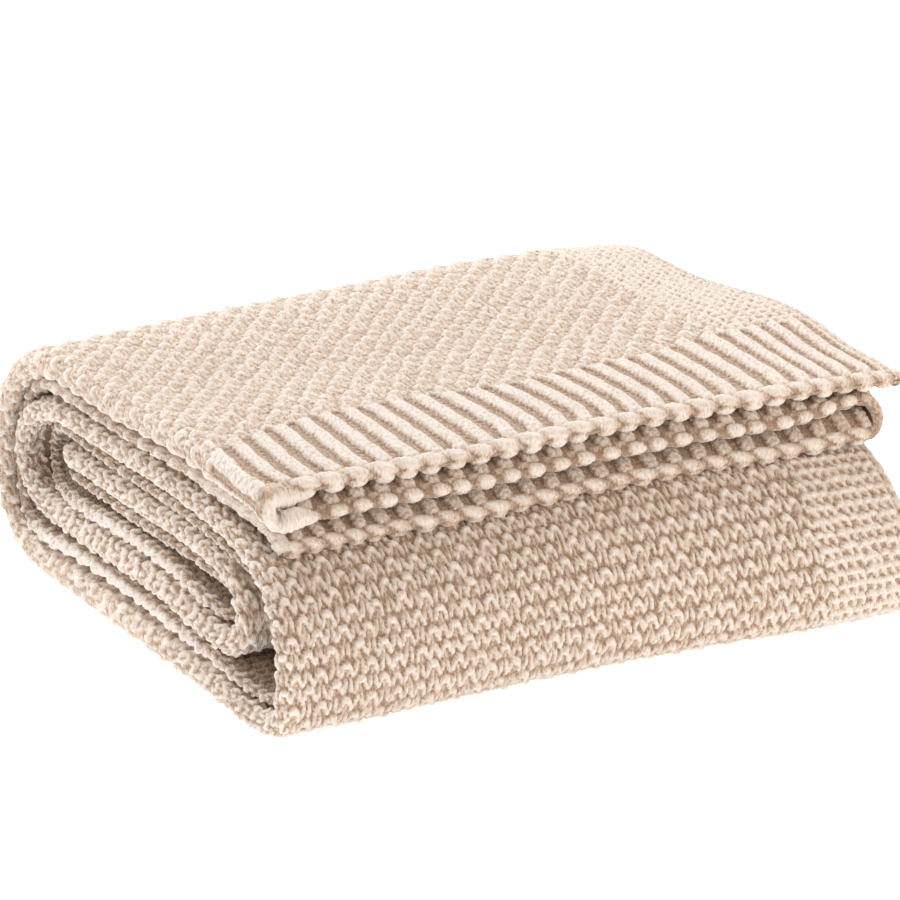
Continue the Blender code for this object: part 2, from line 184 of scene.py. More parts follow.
# Stretches of yarn, as seen from above: half length, half width
KNIT_LEG = (5.0 * MM, 1.55 * MM)
PURL_STRAND = (4.0 * MM, 1.4 * MM)
PURL_LEG = (4.6 * MM, 1.6 * MM)
RIB_LEG_LENGTH = 4.4 * MM
RIB_LEG_WIDTH = 1.45 * MM
RIB_BAR = (2.6 * MM, 1.0 * MM)
BORDER_LEG = (3.2 * MM, 1.7 * MM)
BORDER_ARC = (4.1 * MM, 1.9 * MM)
HEM_BACK = (6.6 * MM, 3.4 * MM)
HEM_KNOB = (6.8 * MM, 4.8 * MM)
HEM_LOOP = (12.4 * MM, 5.6 * MM)
CHAIN_LINK = (5.6 * MM, 2.9 * MM)
CHAIN_RIM = (5.4 * MM, 2.4 * MM)
CHAIN_HOLE = (2.7 * MM, 1.7 * MM)
CHAIN_BAR = (2.6 * MM, 3.0 * MM)

# Painted shade in the knit, which darkens the yarn's colour: the heights of a pit and of a crown, the part
# that the fuzz's random tone plays, the painted shade of the core sheet, and the extra painted shade of the
# skins that lie in the dark
PIT_LEVEL = 1.1 * MM
CROWN_LEVEL = CROWN - 0.4 * MM
FUZZ_TONE = 0.10
CORE_PAINTED_SHADE = 0.8
INNER_HEM_PAINTED_SHADE = 0.22
HEM_EDGE_PAINTED_SHADE = 0.1
INSIDE_PAINTED_SHADE = 0.3
HOLLOW_PAINTED_SHADE = 0.35

# How the stitches ease down beside an edge, and how the yarn is carried round it
EASE_FROM = 2.5 * MM
EASE_TO = 8.5 * MM
WRAP_REACH = 9.0 * MM
WRAP_CENTRE = 2.4 * MM
WRAP_STEP = 1.3 * MM
WRAP_TURN_STEPS = 9
WRAP_ARC = 3.3 * MM
WRAP_LOW = 0.8 * MM
WRAP_EASE = 4.5 * MM
WRAP_FUZZ = 1.4 * FUZZ
# How far each edge's yarn is taken as lying lower when its painted shade is worked out; it darkens the colour
# only, not the shape
EDGE_PAINTED_SHADE_DROP = {"hem": 1.4 * MM, "left": 1.0 * MM, "right": 0.0, "end": 0.0}

# Rows of stitches counted from the hem's edge: distance in mm, row
ROW_STATIONS = [(0.0, 0.0), (86.0, 19.0), (300.0, 61.0), (740.0, 153.0), (2000.0, 433.0)]

# Where the ribs start above the hem's edge: place across the outer layer, distance, in mm
RIB_STARTS = [(0.0, 78.0), (74.0, 77.0), (112.0, 71.0), (150.0, 68.0), (209.0, 64.0), (241.0, 71.0),
              (273.0, 76.0), (323.0, 74.0), (367.0, 67.0), (391.0, 57.0), (412.0, 50.0), (430.0, 66.0)]

# How far the ribs lean across the hem: place across the sheet, lean, in mm
RIB_LEANS = [(0.0, 0.0), (60.0, 0.0), (120.0, 0.5), (180.0, 6.0), (215.0, 6.5), (260.0, 1.0),
             (320.0, -4.0), (370.0, -9.0), (406.0, -9.0), (500.0, 0.0), (1300.0, 0.0)]

# Skins of the outer layer's face: piece, step across, where it starts and ends along the sheet, step
# along, in mm; neighbours overlap a little
OUTER_SKINS = [
    ("stitches_hem", 1.0, 2.6, 93.0, 0.95),
    ("stitches_top", 1.05, 91.0, 302.0, 1.1),
    ("stitches_back", 1.8, 298.0, 462.0, 1.8),
    ("stitches_base", 3.6, 458.0, 742.0, 3.6),
    ("stitches_front", 1.1, 738.0, 1002.0, 1.1),
]

# How far the other skins reach
SKIN_EDGE = 2.6 * MM
FOLD_STEP = 0.75 * MM
LEFT_SKIN_WIDTH = 60.0 * MM
LEFT_SKIN_START = 998.0 * MM
PAST_FOLD = 8.0 * MM
PAST_RIGHT_FOLD = 22.0 * MM
INSIDE_WIDTH = 66.0 * MM
INSIDE_START = 280.0 * MM
HOLLOW_NEAR = 20.0 * MM
HOLLOW_FAR = 90.0 * MM
HOLLOW_START = 740.0 * MM
HOLLOW_END = 1340.0 * MM
INNER_RIGHT_WIDTH = 70.0 * MM
INNER_RIGHT_START = 1000.0 * MM
SECOND_HEM_END = 46.0 * MM
THIRD_HEM_END = 34.0 * MM
INNER_END_PAST = 12.0 * MM

# The yarn's own colour on its crowns, then half and then full painted shade toward its pits
CROWN_COLOUR = (0.90, 0.835, 0.792, 1.0)
HALF_PAINTED_SHADE_COLOUR = (0.72, 0.585, 0.48, 1.0)
PIT_PAINTED_SHADE_COLOUR = (0.36, 0.23, 0.15, 1.0)

# The yarn's fine strands, and how matt and soft the yarn is
STRAND_SCALE = 800.0
STRAND_STRETCH = (1.0, 0.6, 1.0)
STRAND_TONE = 1.8
STRAND_TONE_SHIFT = -0.85
STRAND_BUMP = 1.6 * MM
YARN_ROUGHNESS = 0.95
YARN_SPECULAR = 0.1
YARN_SHEEN = 0.35
YARN_SHEEN_ROUGHNESS = 0.6

# Floor, sky and lamps: the lamps' name, place, size, power and colour
FLOOR_HALF_SIZE = 8.0
FLOOR_COLOUR = (0.93, 0.93, 0.93, 1.0)
FLOOR_ROUGHNESS = 0.9
FLOOR_GLOW = 0.6
SKY_COLOUR = (1.0, 0.885, 0.77, 1.0)
SKY_STRENGTH = 0.6
LAMPS = [
    ("key", (-0.5, 1.3, 2.3), 1.0, 63.0, (0.89, 0.955, 1.0)),
    ("fill", (1.1, -1.3, 0.8), 0.9, 9.5, (1.0, 0.86, 0.73)),
]

# The photograph's camera
VIEW_TARGET = Vector((5.83 * MM, 16.72 * MM, 77.8 * MM))
VIEW_AZIMUTH = math.radians(-29.66)
VIEW_ELEVATION = math.radians(20.0)
VIEW_DISTANCE = 3.0008
LENS = 200.0
SENSOR = 36.0
CLIP_END = 50.0


def curve_through(points, steps):
    """Runs an even, centripetal curve through the rows of points; the first two columns are y and z."""
    rows = np.vstack([2.0 * points[0] - points[1], points, 2.0 * points[-1] - points[-2]])
    pieces = []
    for i in range(1, len(rows) - 2):
        p0, p1, p2, p3 = rows[i - 1:i + 3]
        t0 = 0.0
        t1 = t0 + math.sqrt(np.linalg.norm(p1[:2] - p0[:2]))
        t2 = t1 + math.sqrt(np.linalg.norm(p2[:2] - p1[:2]))
        t3 = t2 + math.sqrt(np.linalg.norm(p3[:2] - p2[:2]))
        t = np.linspace(t1, t2, steps, endpoint=False)[:, None]
        a1 = (t1 - t) / (t1 - t0) * p0 + (t - t0) / (t1 - t0) * p1
        a2 = (t2 - t) / (t2 - t1) * p1 + (t - t1) / (t2 - t1) * p2
        a3 = (t3 - t) / (t3 - t2) * p2 + (t - t2) / (t3 - t2) * p3
        b1 = (t2 - t) / (t2 - t0) * a1 + (t - t0) / (t2 - t0) * a2
        b2 = (t3 - t) / (t3 - t1) * a2 + (t - t1) / (t3 - t1) * a3
        pieces.append((t2 - t) / (t2 - t1) * b1 + (t - t1) / (t2 - t1) * b2)
    pieces.append(rows[-2][None])
    return np.vstack(pieces)


def smooth_step(value, low, high):
    """Eases from 0 at low to 1 at high."""
    t = np.clip((value - low) / (high - low), 0.0, 1.0)
    return t * t * (3.0 - 2.0 * t)


class FoldPath:
    """The middle layer's path through the roll, sampled evenly along its length."""

    def __init__(self):
        stations = np.array([row[1:] for row in FOLD_STATIONS]) * MM
        line = curve_through(stations, 12)
        steps = np.linalg.norm(np.diff(line[:, :2], axis=0), axis=1)
        along = np.concatenate([[0.0], np.cumsum(steps)])
        self.length = float(along[-1])
        self.s = np.linspace(0.0, self.length, PATH_POINTS)
        line = np.stack([np.interp(self.s, along, line[:, k]) for k in range(line.shape[1])], axis=1)
        for _ in range(PATH_SMOOTHING):
            line[1:-1] = 0.5 * line[1:-1] + 0.25 * (line[:-2] + line[2:])
        tangent = np.gradient(line[:, :2], axis=0)
        tangent /= np.linalg.norm(tangent, axis=1)[:, None]
        self.table = np.column_stack([line, -tangent[:, 1], tangent[:, 0]])

    def at(self, s):
        """Reads y, z, layer spacing, left inset, right inset and the outward direction at s."""
        return [np.interp(s, self.s, self.table[:, k]) for k in range(self.table.shape[1])]


PATH = FoldPath()


def span_section(u, spacing, left, right, selvedge):
    """Carries flat positions u to x and to the offset from the middle layer, outward positive."""
    puff = np.clip(FOLD_PUFF * (spacing - PUFF_FROM), 0.0, MOST_PUFF)
    radius = 0.5 * spacing
    bulge = FOLD_ROUNDNESS * radius
    x_left = LEFT_END + left + bulge + 0.5 * KNIT_THICKNESS
    x_right = RIGHT_END - RIGHT_FOLD_INSET - right - bulge - 0.5 * KNIT_THICKNESS
    x_outer = RIGHT_END - 0.8 * right
    x_inner = LEFT_END + selvedge + left
    x = np.zeros_like(u)
    offset = np.zeros_like(u)
    for name, start, end in REGIONS:
        width = end - start
        inside = (u >= start - SAME_PLACE) & (u <= end + SAME_PLACE)
        f = np.clip((u - start) / width, 0.0, 1.0)
        if name == "outer layer":
            x_here = x_outer + (x_left - x_outer) * f
            offset_here = spacing + puff * (1.0 - smooth_step(width * (1.0 - f), 0.0, PUFF_REACH))
        elif name == "left fold":
            x_here = x_left - (bulge + puff) * np.sin(math.pi * f)
            offset_here = radius + (radius + puff) * np.cos(math.pi * f)
        elif name == "middle layer":
            x_here = x_left + (x_right - x_left) * f
            offset_here = -puff * (1.0 - smooth_step(width * f, 0.0, PUFF_REACH))
        elif name == "right fold":
            x_here = x_right + bulge * np.sin(math.pi * f)
            offset_here = -radius * (1.0 - np.cos(math.pi * f))
        else:
            x_here = x_right + (x_inner - x_right) * f
            offset_here = -spacing + 0.0 * f
        x = np.where(inside, x_here, x)
        offset = np.where(inside, offset_here, offset)
    return x, offset


def uneven(points):
    """Bulges the front and lifts or lowers the top by small amounts that change along the bundle."""
    table = np.array(UNEVEN_STATIONS) * MM
    x, y, z = points[:, 0].copy(), points[:, 1].copy(), points[:, 2].copy()
    toe, middle, hem, back = [np.interp(x, table[:, 0], table[:, k]) for k in range(1, 5)]
    low = 1.0 - smooth_step(z, 20.0 * MM, 95.0 * MM)
    frontness = smooth_step(-y, 20.0 * MM, 190.0 * MM)
    y += frontness * (toe * low + middle * (1.0 - low))
    rise = smooth_step(z, 10.0 * MM, 140.0 * MM)
    z += rise * (back + (hem - back) * smooth_step(-y, -60.0 * MM, 60.0 * MM))
    return np.stack([x, y, z], axis=1)


def near_right_fold(u, right_middle):
    """Gives 1 at the right fold, easing to 0 on the layers beside it."""
    return 1.0 - smooth_step(np.abs(u - right_middle), 10.0 * MM, FOLD_CURL_WIDTH)


def hem_curl(u, s, left_middle, right_middle):
    """Gives the reach and the lift of the hem's curled right end, and of its middle layer."""
    near_edge = 1.0 - smooth_step(u, 0.0, EDGE_CURL_WIDTH)
    near_edge = near_edge * (1.0 - smooth_step(s, EDGE_CURL_FADES, EDGE_CURL_GONE))
    tip = TIP_LIFT * (1.0 - smooth_step(s, 0.0, TIP_LENGTH))
    lift = (tip + SHOULDER_LIFT * smooth_step(s, SHOULDER_START, SHOULDER_FULL)) * near_edge
    fold = near_right_fold(u, right_middle) * (1.0 - smooth_step(s, FOLD_CURL_FADES, FOLD_CURL_GONE))
    first = left_middle + MIDDLE_HEM_MARGIN
    last = right_middle - MIDDLE_HEM_MARGIN
    in_middle = smooth_step(u, first, first + MIDDLE_HEM_EASE)
    in_middle = in_middle * (1.0 - smooth_step(u, last - MIDDLE_HEM_EASE, last))
    in_middle = in_middle * (1.0 - smooth_step(s, MIDDLE_HEM_FADES, HEM_BAND))
    return EDGE_REACH * near_edge, lift + FOLD_LIFT * fold + MIDDLE_HEM_LIFT * in_middle


def folded(u, s):
    """Carries points of the flat sheet's middle to their places in the folded bundle."""
    left_middle = 0.5 * (OUTER_END + MIDDLE_START)
    right_middle = 0.5 * (MIDDLE_END + INNER_START)
    past_left = smooth_step(u, left_middle - 9.0 * MM, left_middle + 9.0 * MM)
    past_right = smooth_step(u, right_middle - 9.0 * MM, right_middle + 9.0 * MM)
    step = OUTER_HEM_STEP * (1.0 - past_left) + INNER_HEM_STEP * (1.0 - past_right)
    back = FOLD_BACK * near_right_fold(u, right_middle)
    step = step + back * (1.0 - (1.0 - INNER_SIDE_OF_BACK) * past_right)
    along = s + step * (1.0 - smooth_step(s, HEM_BAND, STEP_GONE))
    y0, z0, spacing, left, right, selvedge, ny, nz = PATH.at(along)
    x, offset = span_section(u, spacing, left, right, selvedge)
    reach, lift = hem_curl(u, s, left_middle, right_middle)
    x = x + reach
    offset = offset + lift
    points = uneven(np.stack([x, y0 + ny * offset, z0 + nz * offset], axis=1))
    floor = 0.5 * KNIT_THICKNESS
    points[:, 2] = np.where(points[:, 2] < floor + 0.7 * MM, floor, points[:, 2])
    return points + np.array(CENTRE_SHIFT)


def unit(vectors):
    """Scales each row to length 1."""
    return vectors / np.maximum(np.linalg.norm(vectors, axis=1), 1e-9)[:, None]


def sheet_frame(u, s):
    """Gives the points of the sheet's middle, and its directions along u, along s and out of side A."""
    d = 1.0 * MM
    u0, u1 = np.maximum(u - d, 0.0), np.minimum(u + d, SHEET_WIDTH)
    s0, s1 = np.maximum(s - d, 0.0), np.minimum(s + d, PATH.length)
    across = unit(folded(u1, s) - folded(u0, s))
    along = unit(folded(u, s1) - folded(u, s0))
    return folded(u, s), across, along, unit(np.cross(along, across))


def chance(k, j, seed):
    """Gives each stitch its own number from 0 to 1, the same in each run."""
    mixed = np.sin(k * 12.9898 + j * 78.233 + seed * 37.719) * 43758.5453
    return mixed - np.floor(mixed)


def waver(u, s, scale, seed):
    """A slow, smooth unevenness from -1 to 1."""
    a = np.sin(u / scale + 1.7 * seed) * np.cos(s / (1.3 * scale) + 2.9 * seed)
    b = np.sin(0.61 * u / scale - 0.83 * s / scale + 4.1 * seed)
    return 0.5 * (a + b)


def from_table(value, rows):
    """Reads a table of pairs in mm at the given places, which are in metres."""
    table = np.array(rows) * MM
    return np.interp(value, table[:, 0], table[:, 1])


def row_number(s):
    """Counts the rows of stitches from the hem's edge."""
    return from_table(s, ROW_STATIONS) / MM


def stitch_columns(u, s, side):
    """Gives each place its stitch column, running on through the folds at the outside's length."""
    fold_a = np.clip(u - OUTER_END, 0.0, FOLD_WIDTH) * (0.75 if side == SIDE_A else -0.3)
    fold_b = np.clip(u - MIDDLE_END, 0.0, FOLD_WIDTH) * (0.75 if side == SIDE_B else -0.3)
    in_hem = 1.0 - smooth_step(s, 0.0, 1.3 * HEM_BAND)
    lean = from_table(u, RIB_LEANS) * (in_hem - 0.5)
    v = u + lean * smooth_step(s, 0.0, 20.0 * MM) + fold_a + fold_b
    v = v + 0.9 * MM * waver(u, s, 41.0 * MM, 1.0)
    total = SHEET_WIDTH + 0.45 * FOLD_WIDTH
    near = np.clip(v, -20.0 * MM, BORDER) / BORDER_STITCH
    middle = (np.clip(v, BORDER, total - BORDER) - BORDER) / STITCH
    far = np.clip(v - (total - BORDER), 0.0, None) / BORDER_STITCH
    return near + middle + far


def grain(du, ds, half_length, half_width, angle, bend=0.0):
    """The rounded height, 0 to 1, of a stretch of yarn seen from above."""
    x = du * np.cos(angle) + ds * np.sin(angle)
    y = -du * np.sin(angle) + ds * np.cos(angle)
    y = y + bend * x * x
    return np.sqrt(np.maximum(0.0, 1.0 - (x / half_length) ** 2 - (y / half_width) ** 2))


def over(height, low, high, shape):
    """Lays a stretch of yarn from low to high over what is there."""
    return np.where(shape > 0.0, np.maximum(height, low + (high - low) * shape), height)


def knit_legs(height, du, ds, low, high, seed):
    """Lays the two legs of a knit stitch: strands along the cloth that meet toward the hem."""
    for way in (-1.0, 1.0):
        angle = way * (1.36 + 0.2 * (seed - 0.5)) + 0.25 * (seed - 0.5)
        leg = grain(du + way * 1.9 * MM, ds, *KNIT_LEG, angle)
        height = over(height, low, high, leg)
    return height


def purl_loop(height, du, ds, low, high, seed, in_front):
    """Lays a purl stitch: a bright knob of yarn, two legs splayed beside it and a strand between them."""
    tilt = 0.5 * (seed - 0.5)
    strand = grain(du + 1.2 * MM * (seed - 0.5), ds + 2.8 * MM, *PURL_STRAND, 1.57 + tilt)
    height = over(height, low, low + 0.45 * (high - low), strand)
    for way in (-1.0, 1.0):
        leg = grain(du - way * 3.1 * MM, ds + 1.2 * MM, *PURL_LEG, way * -1.2 + tilt)
        height = over(height, low, (0.72 + 0.16 * in_front) * high, leg)
    half_length = (4.9 - 1.2 * in_front) * MM
    half_width = (2.7 - 0.4 * in_front) * MM
    knob = grain(du, ds - 2.4 * MM, half_length, half_width, tilt, bend=70.0)
    return over(height, low, high + 0.2 * MM, knob)


def rib_height(column, row, s, width):
    """The hem: a rounded raised column of knit stitches, then a deep groove crossed by small bars."""
    pair = 2.0 * np.floor(column / 2.0)
    across = (column - pair - 0.5) * width
    across = np.where(across > width, across - 2.0 * width, across)
    pair = np.where(column - pair > 1.5, pair + 2.0, pair)
    wobble = 0.35 * MM * np.sin(1.4 * row + 2.0 * pair)
    turn = np.clip((across + wobble) / (0.79 * width), -1.0, 1.0)
    height = 0.2 * MM + 3.6 * MM * np.cos(0.5 * math.pi * turn) ** 0.6
    strand = np.zeros_like(s)
    bars = np.zeros_like(s)
    for dj in (-1.0, 0.0, 1.0):
        j = np.floor(row) + dj
        seed = chance(pair, j, 1.0)
        ds = (row - j - 0.5) * RIB_STITCH_TALL + 0.5 * MM * (seed - 0.5)
        size = 1.0 + 0.14 * (chance(pair, j, 2.0) - 0.5)
        for way in (-1.0, 1.0):
            leg = grain(across + wobble - way * 0.34 * width, ds + 0.6 * MM,
                        RIB_LEG_LENGTH, RIB_LEG_WIDTH * size, -way * 0.95)
            strand = np.maximum(strand, leg * size)
        bar = grain(across - 0.80 * width, ds, *RIB_BAR, 0.5)
        bars = np.maximum(bars, bar * (0.5 + seed))
    return np.maximum(height + 1.5 * MM * strand - 0.5 * MM, 0.2 * MM + 1.4 * MM * bars)


def moss_height(column, row, s, width):
    """The body: purl loops and knit legs in turn, changing places every two rows."""
    in_front = smooth_step(s, FRONT_STITCHES_FROM, FRONT_STITCHES_FULL)
    floor = (2.0 - 0.3 * in_front) * MM
    low = floor - 0.4 * MM
    height = floor + 0.0 * s
    k0 = np.floor(column)
    cell = 0.5 * row
    j0 = np.floor(cell)
    for dk in (-1.0, 0.0, 1.0):
        for dj in (-1.0, 0.0, 1.0):
            k, j = k0 + dk, j0 + dj
            seed = chance(k, j, 3.0)
            other = chance(k, j, 6.0)
            size = 1.0 + 0.16 * (chance(k, j, 4.0) - 0.5)
            crown = CROWN + 0.9 * MM * (chance(k, j, 5.0) - 0.6)
            du = (column - k - 0.5 - 0.22 * (seed - 0.5)) * width / size
            ds = (cell - j - 0.5 - 0.18 * (other - 0.5)) * BODY_PAIR_TALL / size
            purl = np.mod(k + j, 2.0) < 0.5
            loops = purl_loop(height, du, ds, low, crown, seed, in_front)
            legs = knit_legs(height, du, ds, low, (0.70 + 0.14 * in_front) * crown, other)
            height = np.where(purl, loops, legs)
    return height


def border_height(column, row, width):
    """The side border: small ridges of arcs, in rows closer together than the body's."""
    low = 2.0 * MM
    height = low + 0.0 * row
    cell = 0.68 * row
    for dk in (-1.0, 0.0, 1.0):
        for dj in (-1.0, 0.0, 1.0):
            k, j = np.floor(column) + dk, np.floor(cell) + dj
            seed = chance(k, j, 3.0)
            crown = CROWN + 0.9 * MM * (chance(k, j, 5.0) - 0.7)
            du = (column - k - 0.5 - 0.3 * (seed - 0.5)) * width
            ds = (cell - j - 0.5 - 0.16 * (chance(k, j, 6.0) - 0.5)) * BORDER_PAIR_TALL
            leg = grain(du + 2.9 * MM, ds + 1.6 * MM, *BORDER_LEG, 1.2 + 0.4 * (seed - 0.5))
            height = over(height, low, 0.86 * crown, leg)
            arc = grain(du, ds - 1.2 * MM, *BORDER_ARC, 0.5 * (seed - 0.5), bend=60.0)
            height = over(height, low, crown, arc)
    return height


def stitch_height(u, s, side):
    """Height of the yarn over the sheet's middle, on either side."""
    column = stitch_columns(u, s, side)
    row = row_number(s)
    border = np.minimum(u, SHEET_WIDTH - u) < BORDER + 3.0 * MM * waver(u, s, 17.0 * MM, 2.0)
    width = np.where(border, BORDER_STITCH, STITCH)
    if side == SIDE_B:
        column = column + 1.0
    body = np.where(border, border_height(column, row, width), moss_height(column, row, s, width))
    ribs = rib_height(column, row, s, width)
    start = from_table(u, RIB_STARTS)
    ribs_here = 1.0 - smooth_step(s, start - 3.0 * MM, start + 3.0 * MM)
    return body + (ribs - body) * ribs_here


def fuzz(u, s):
    """Fine unevenness of the hairy yarn, from -1 to 1, different at each point of the mesh."""
    return 2.0 * chance(np.round(u / (0.5 * MM)), np.round(s / (0.5 * MM)), 8.0) - 1.0


def cavity(height):
    """How deep in the knit a place lies, which sets its painted shade: 0 on the yarn's crowns, 1 in its pits.
    """
    return 1.0 - smooth_step(height, PIT_LEVEL, CROWN_LEVEL)


def near_sheet_edge(distance):
    """Eases the stitches down under the yarn that is carried round an edge."""
    return smooth_step(distance, EASE_FROM, EASE_TO)


def grid_faces(rows, columns, flip):
    """Quads over a grid of points, row after row."""
    index = np.arange(rows * columns).reshape(rows, columns)
    a, b, c, d = index[:-1, :-1], index[:-1, 1:], index[1:, 1:], index[1:, :-1]
    quads = np.stack([a, b, c, d] if not flip else [a, d, c, b], axis=-1)
    return quads.reshape(-1, 4)


def mesh_piece(name, points, faces, flat, painted_shade_and_tone):
    """Makes a smooth mesh piece with the flat sheet's coordinates and the painted shade, with random tone, of
    each point.
    """
    mesh = bpy.data.meshes.new(name)
    mesh.vertices.add(len(points))
    mesh.vertices.foreach_set("co", np.asarray(points, np.float32).ravel())
    mesh.loops.add(faces.size)
    mesh.loops.foreach_set("vertex_index", faces.ravel().astype(np.int32))
    mesh.polygons.add(len(faces))
    mesh.polygons.foreach_set("loop_start", np.arange(0, faces.size, 4, dtype=np.int32))
    mesh.update(calc_edges=True)
    mesh.validate()
    layer = mesh.uv_layers.new(name="flat")
    corners = np.empty(len(mesh.loops), np.int32)
    mesh.loops.foreach_get("vertex_index", corners)
    layer.data.foreach_set("uv", np.asarray(flat, np.float32)[corners].ravel())
    # This attribute holds each point's painted shade, with its random tone
    painted_shade_layer = mesh.attributes.new("painted_shade_and_tone", "FLOAT", "POINT")
    painted_shade_layer.data.foreach_set("value", np.asarray(painted_shade_and_tone, np.float32))
    mesh.shade_smooth()
    piece = bpy.data.objects.new(name, mesh)
    bpy.context.scene.collection.objects.link(piece)
    return piece


def stitched_face(name, u, s, side, material, painted_shade=0.0):
    """Raises the stitches over one stretch of the sheet; the last argument adds painted shade to its yarn."""
    grid_u, grid_s = np.meshgrid(u, s)
    uu, ss = grid_u.ravel(), grid_s.ravel()
    centre, _, _, normal = sheet_frame(uu, ss)
    height = stitch_height(uu, ss, side)
    rough = fuzz(uu, ss)
    # Painted shade: darker where the yarn lies deep in the knit, plus the skin's extra painted shade, less a
    # random tone from the fuzz
    painted_shade_and_tone = np.clip(cavity(height) + painted_shade - FUZZ_TONE * rough, 0.0, 1.0)
    inside = np.minimum(np.minimum(uu, SHEET_WIDTH - uu), ss)
    height = CORE_HALF + (height - CORE_HALF) * near_sheet_edge(inside) + FUZZ * rough
    points = centre + side * height[:, None] * normal
    points[:, 2] = np.maximum(points[:, 2], 0.0)
    faces = grid_faces(len(s), len(u), side == SIDE_A)
    piece = mesh_piece(name, points, faces, np.stack([uu, ss], axis=1), painted_shade_and_tone)
    piece.data.materials.append(material)
    return piece


def hem_edge_height(t, w):
    """The cast-off edge: a rope of slanted loops, one to a rib, with a knob of yarn under each and a
    low lobe behind it. It fills out with smooth plied yarn at the left fold, and is even at the right one."""
    pitch = 2.0 * STITCH
    place = (stitch_columns(t, np.zeros_like(t), SIDE_A) - 0.5) / 2.0
    inner = smooth_step(t, OUTER_END - 12.0 * MM, MIDDLE_START)
    low = 2.7 * MM
    height = low + 0.0 * w
    for dn in (-1.0, 0.0, 1.0):
        n = np.floor(place) + dn
        seed = chance(n, 0.0, 6.0)
        other = chance(n, 1.0, 7.0)
        crown = (4.8 + 0.9 * (other - 0.5) - 0.6 * inner) * MM
        crown = crown + 1.1 * MM * smooth_step(t, 25.0 * MM, 90.0 * MM)
        back = grain((place - n - 0.05) * pitch, w - 14.4 * MM, *HEM_BACK, 0.45)
        height = over(height, low, crown - 1.0 * MM, back ** 1.3)
        knob = grain((place - n - 0.34 - 0.2 * seed) * pitch, w - 8.2 * MM, *HEM_KNOB, -0.2)
        height = over(height, low, crown, knob ** 1.2)
        du = (place - n - 0.50) * pitch
        dw = w + (1.2 + 1.4 * (seed - 0.5)) * MM
        loop = grain(du, dw, *HEM_LOOP, -0.5 + 0.16 * (other - 0.5), bend=16.0)
        height = over(height, low, crown * (1.0 + 0.22 * du / (8.0 * MM)), loop ** 1.3)
    ply = 0.4 * MM * np.sin(2.0 * math.pi * (t + 0.3 * w) / (3.8 * MM))
    at_left = 1.0 - smooth_step(np.abs(t - 0.5 * (OUTER_END + MIDDLE_START)), 16.0 * MM, 30.0 * MM)
    at_right = 1.0 - smooth_step(np.abs(t - 0.5 * (MIDDLE_END + INNER_START)), 4.0 * MM, 15.0 * MM)
    fill = 3.2 * MM + 6.2 * MM * smooth_step(w, 1.0 * MM, 9.0 * MM)
    height = height + (fill + 0.3 * (height - 3.4 * MM) + ply - height) * at_left
    return height + (3.3 * MM + 0.3 * (height - 3.3 * MM) - height) * at_right


def selvedge_height(t, w):
    """The right side edge: a smooth chain of stitches, with a small hole inside it at every second row."""
    pitch = 9.0 * MM
    height = np.full_like(t, 1.8 * MM)
    for dn in (-1.0, 0.0, 1.0):
        n = np.floor(t / pitch) + dn
        for place, slant in ((1.0, 24.0), (9.5, -24.0)):
            link = grain(t - (n + 0.5) * pitch, w - place * MM, *CHAIN_LINK, math.radians(slant))
            height = over(height, 2.2 * MM, 3.5 * MM, link)
        rim = grain(t - (n + 0.5) * pitch, w - 5.2 * MM, *CHAIN_RIM, 0.0)
        height = over(height, 2.3 * MM, 3.2 * MM, rim)
        for place in (-4.0, 14.5):
            hole = grain(t - n * pitch, w - place * MM, *CHAIN_HOLE, 0.0)
            height = height - 1.6 * MM * hole
            bar = grain(t - (n + 0.5) * pitch, w - place * MM, *CHAIN_BAR, 0.0)
            height = over(height, 2.2 * MM, 3.1 * MM, bar)
    return height


def inner_end_height(t, w):
    """The edge at the end inside the roll: smooth, slightly ribbed yarn."""
    return (3.5 + 0.35 * np.sin(2.0 * math.pi * t / (5.0 * MM)) - 0.03 * (w / MM - 5.0) ** 2 / 3.0) * MM


def inner_selvedge_height(t, w):
    """The side edge under the left folds: the body's stitches, plump enough to fill the fold above."""
    spacing = PATH.at(t)[2]
    room = np.clip(spacing - 4.1 * MM, 3.6 * MM, 7.6 * MM)
    side = smooth_step(w, 1.0 * MM, 9.0 * MM)
    crown = room + (5.0 * MM - room) * side
    return crown + 0.9 * (moss_height(w / STITCH, row_number(t), t, STITCH) - CROWN)


